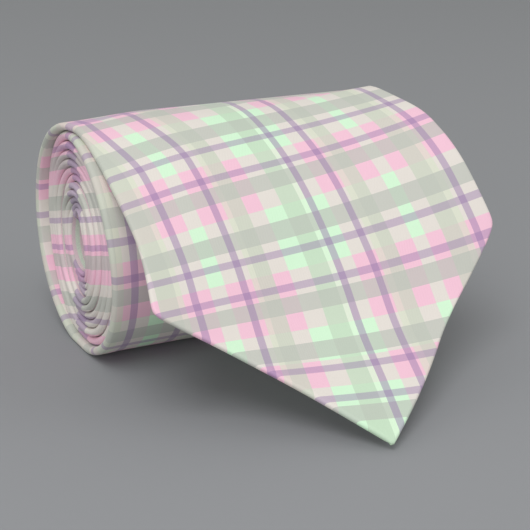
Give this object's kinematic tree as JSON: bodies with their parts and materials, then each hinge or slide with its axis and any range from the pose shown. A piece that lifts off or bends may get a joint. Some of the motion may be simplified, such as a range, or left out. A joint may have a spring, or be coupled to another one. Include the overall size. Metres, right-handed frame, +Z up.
{
  "type": "necktie",
  "caption": "Plaid necktie rolled up from its narrow end and lying on its side, with its wide blade coming over the roll and down to the table.",
  "frame": {"origin": "on the table, at the middle of the flat strip the roll rests on, directly below the roll's axis", "axes": "+X along the roll's axis, +Y from the blade's point towards the back of the roll, +Z up from the table"},
  "size_m": [0.1037, 0.1243, 0.0658],
  "materials": {
    "shell": "woven satin plaid",
    "interlining": "brushed wool blend",
    "tipping": "plain satin lining",
    "thread": "sewing thread",
    "tack": "dense sewing thread",
    "loop": "folded satin",
    "label": "blank woven satin label",
    "care": "blank printed-ribbon label"
  },
  "bodies": {
    "roll": {"blade_shell_wound": "shell", "neck_shell": "shell", "tail_shell": "shell", "interlining_wound": "interlining", "tail_tipping": "tipping", "slip_stitches_wound": "thread", "tail_bar_tack": "tack", "join_stitches_blade": "thread", "join_stitches_neck": "thread", "keeper_loop": "loop", "keeper_stitches": "tack", "maker_label": "label", "care_label": "care"},
    "blade": {"blade_shell_free": "shell", "interlining_free": "interlining", "blade_tipping": "tipping", "slip_stitches_free": "thread", "blade_bar_tack": "tack"}
  },
  "joints": [
    {"name": "blade_lift", "type": "hinge", "parent": "roll", "child": "blade", "pos_m": [0, 0, 0.0637], "axis": [-1, 0, 0], "range_deg": [0, 75]}
  ]
}
